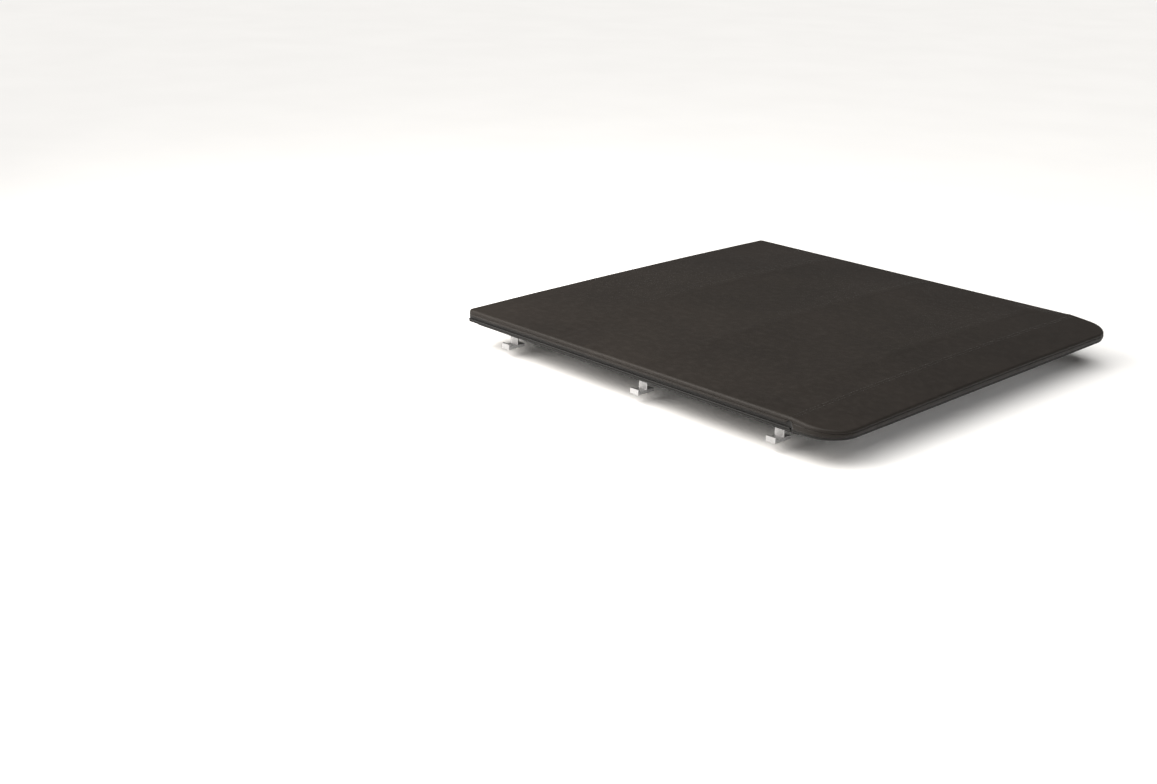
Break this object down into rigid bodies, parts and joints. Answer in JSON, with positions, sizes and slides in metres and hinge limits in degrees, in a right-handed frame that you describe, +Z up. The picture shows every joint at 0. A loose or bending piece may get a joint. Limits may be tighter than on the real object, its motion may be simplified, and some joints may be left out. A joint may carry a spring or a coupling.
{
  "type": "tonneau cover",
  "caption": "Soft roll-up cover for a pickup bed: black vinyl over crowned bows on clamped side rails, rolled up towards the cab.",
  "frame": {"origin": "middle of the cover in plan, in the plane of the truck's bed rim, where the seals' undersides rest", "axes": "+X to the truck's right, +Y forwards to the cab, +Z up"},
  "size_m": [1.608, 1.604, 0.136],
  "materials": {
    "vinyl": "embossed vinyl-coated cloth, satin",
    "rail_black": "black powder coat, fine texture",
    "bow_aluminium": "mill finish",
    "bar_aluminium": "mill finish",
    "clamp_aluminium": "cast and tumbled",
    "seal_rubber": "matt sponge rubber",
    "moulded_plastic": "fine moulded grain",
    "zinc_steel": "zinc plate",
    "webbing": "woven nylon",
    "hook_tape": "hook fastener"
  },
  "bodies": {
    "frame": {"header_rail": "rail_black", "header_screws": "zinc_steel", "header_seal": "seal_rubber", "left_clamp_brackets": "clamp_aluminium", "left_corner_bracket": "clamp_aluminium", "left_hook_strip": "hook_tape", "left_rail_end_cap": "moulded_plastic", "left_rail_seal": "seal_rubber", "left_side_rail": "rail_black", "left_storage_strap": "webbing", "left_strap_buckle": "moulded_plastic", "rail_screws": "zinc_steel", "right_clamp_brackets": "clamp_aluminium", "right_corner_bracket": "clamp_aluminium", "right_hook_strip": "hook_tape", "right_rail_end_cap": "moulded_plastic", "right_rail_seal": "seal_rubber", "right_side_rail": "rail_black", "right_storage_strap": "webbing", "right_strap_buckle": "moulded_plastic", "sheet_front": "vinyl"},
    "panel_1": {"sheet_panel_1": "vinyl", "front_bow": "bow_aluminium", "front_bow_end_plugs": "moulded_plastic"},
    "panel_2": {"sheet_panel_2": "vinyl"},
    "panel_3": {"sheet_panel_3": "vinyl"},
    "panel_4": {"sheet_panel_4": "vinyl", "middle_bow": "bow_aluminium", "middle_bow_end_plugs": "moulded_plastic"},
    "panel_5": {"sheet_panel_5": "vinyl"},
    "panel_6": {"sheet_panel_6": "vinyl"},
    "panel_7": {"sheet_panel_7": "vinyl"},
    "panel_8": {"sheet_panel_8": "vinyl", "rear_bow": "bow_aluminium", "rear_bow_end_plugs": "moulded_plastic"},
    "tail": {"sheet_tail": "vinyl", "rear_bar": "bar_aluminium", "left_corner_moulding": "moulded_plastic", "right_corner_moulding": "moulded_plastic", "tail_seal": "seal_rubber", "left_latch_housing": "moulded_plastic", "right_latch_housing": "moulded_plastic", "latch_screws": "zinc_steel"},
    "left_latch": {"left_latch_bolt": "zinc_steel"},
    "left_front_jaw": {"left_front_clamp_jaw": "clamp_aluminium"},
    "left_front_bolt": {"left_front_clamp_bolt": "zinc_steel"},
    "left_middle_jaw": {"left_middle_clamp_jaw": "clamp_aluminium"},
    "left_middle_bolt": {"left_middle_clamp_bolt": "zinc_steel"},
    "left_rear_jaw": {"left_rear_clamp_jaw": "clamp_aluminium"},
    "left_rear_bolt": {"left_rear_clamp_bolt": "zinc_steel"},
    "right_latch": {"right_latch_bolt": "zinc_steel"},
    "right_front_jaw": {"right_front_clamp_jaw": "clamp_aluminium"},
    "right_front_bolt": {"right_front_clamp_bolt": "zinc_steel"},
    "right_middle_jaw": {"right_middle_clamp_jaw": "clamp_aluminium"},
    "right_middle_bolt": {"right_middle_clamp_bolt": "zinc_steel"},
    "right_rear_jaw": {"right_rear_clamp_jaw": "clamp_aluminium"},
    "right_rear_bolt": {"right_rear_clamp_bolt": "zinc_steel"}
  },
  "joints": [
    {"name": "fold_1", "type": "hinge", "parent": "frame", "child": "panel_1", "pos_m": [0, 0.514, 0.067], "axis": [-1, 0, 0], "range_deg": [0, 90]},
    {"name": "fold_2", "type": "hinge", "parent": "panel_1", "child": "panel_2", "pos_m": [0, 0.387, 0.067], "axis": [-1, 0, 0], "range_deg": [0, 90]},
    {"name": "fold_3", "type": "hinge", "parent": "panel_2", "child": "panel_3", "pos_m": [0, 0.15, 0.067], "axis": [-1, 0, 0], "range_deg": [0, 90]},
    {"name": "fold_4", "type": "hinge", "parent": "panel_3", "child": "panel_4", "pos_m": [0, 0.048, 0.067], "axis": [-1, 0, 0], "range_deg": [0, 90]},
    {"name": "fold_5", "type": "hinge", "parent": "panel_4", "child": "panel_5", "pos_m": [0, -0.164, 0.067], "axis": [-1, 0, 0], "range_deg": [0, 90]},
    {"name": "fold_6", "type": "hinge", "parent": "panel_5", "child": "panel_6", "pos_m": [0, -0.241, 0.067], "axis": [-1, 0, 0], "range_deg": [0, 90]},
    {"name": "fold_7", "type": "hinge", "parent": "panel_6", "child": "panel_7", "pos_m": [0, -0.428, 0.067], "axis": [-1, 0, 0], "range_deg": [0, 90]},
    {"name": "fold_8", "type": "hinge", "parent": "panel_7", "child": "panel_8", "pos_m": [0, -0.48, 0.067], "axis": [-1, 0, 0], "range_deg": [0, 90]},
    {"name": "tail_fold", "type": "hinge", "parent": "panel_8", "child": "tail", "pos_m": [0, -0.642, 0.059], "axis": [-1, 0, 0], "range_deg": [0, 179.8]},
    {"name": "left_latch_slide", "type": "slide", "parent": "tail", "child": "left_latch", "axis": [-1, 0, 0], "range_m": [0, 0.026]},
    {"name": "right_latch_slide", "type": "slide", "parent": "tail", "child": "right_latch", "axis": [1, 0, 0], "range_m": [0, 0.026]},
    {"name": "left_front_jaw_slide", "type": "slide", "parent": "frame", "child": "left_front_jaw", "axis": [0, 0, -1], "range_m": [-0.008, 0.02]},
    {"name": "left_front_bolt_turn", "type": "hinge", "parent": "left_front_jaw", "child": "left_front_bolt", "pos_m": [-0.73, 0.62, -0.06], "axis": [0, 0, -1], "range_deg": [-2310, 5770]},
    {"name": "left_middle_jaw_slide", "type": "slide", "parent": "frame", "child": "left_middle_jaw", "axis": [0, 0, -1], "range_m": [-0.008, 0.02]},
    {"name": "left_middle_bolt_turn", "type": "hinge", "parent": "left_middle_jaw", "child": "left_middle_bolt", "pos_m": [-0.73, 0, -0.06], "axis": [0, 0, -1], "range_deg": [-2310, 5770]},
    {"name": "left_rear_jaw_slide", "type": "slide", "parent": "frame", "child": "left_rear_jaw", "axis": [0, 0, -1], "range_m": [-0.008, 0.02]},
    {"name": "left_rear_bolt_turn", "type": "hinge", "parent": "left_rear_jaw", "child": "left_rear_bolt", "pos_m": [-0.73, -0.56, -0.06], "axis": [0, 0, -1], "range_deg": [-2310, 5770]},
    {"name": "right_front_jaw_slide", "type": "slide", "parent": "frame", "child": "right_front_jaw", "axis": [0, 0, -1], "range_m": [-0.008, 0.02]},
    {"name": "right_front_bolt_turn", "type": "hinge", "parent": "right_front_jaw", "child": "right_front_bolt", "pos_m": [0.73, 0.62, -0.06], "axis": [0, 0, -1], "range_deg": [-2310, 5770]},
    {"name": "right_middle_jaw_slide", "type": "slide", "parent": "frame", "child": "right_middle_jaw", "axis": [0, 0, -1], "range_m": [-0.008, 0.02]},
    {"name": "right_middle_bolt_turn", "type": "hinge", "parent": "right_middle_jaw", "child": "right_middle_bolt", "pos_m": [0.73, 0, -0.06], "axis": [0, 0, -1], "range_deg": [-2310, 5770]},
    {"name": "right_rear_jaw_slide", "type": "slide", "parent": "frame", "child": "right_rear_jaw", "axis": [0, 0, -1], "range_m": [-0.008, 0.02]},
    {"name": "right_rear_bolt_turn", "type": "hinge", "parent": "right_rear_jaw", "child": "right_rear_bolt", "pos_m": [0.73, -0.56, -0.06], "axis": [0, 0, -1], "range_deg": [-2310, 5770]}
  ],
  "couplings": [
    {"joint": "left_front_bolt_turn", "follows": "left_front_jaw_slide", "rad_per_m": 5026.5},
    {"joint": "left_middle_bolt_turn", "follows": "left_middle_jaw_slide", "rad_per_m": 5026.5},
    {"joint": "left_rear_bolt_turn", "follows": "left_rear_jaw_slide", "rad_per_m": 5026.5},
    {"joint": "right_front_bolt_turn", "follows": "right_front_jaw_slide", "rad_per_m": 5026.5},
    {"joint": "right_middle_bolt_turn", "follows": "right_middle_jaw_slide", "rad_per_m": 5026.5},
    {"joint": "right_rear_bolt_turn", "follows": "right_rear_jaw_slide", "rad_per_m": 5026.5}
  ]
}
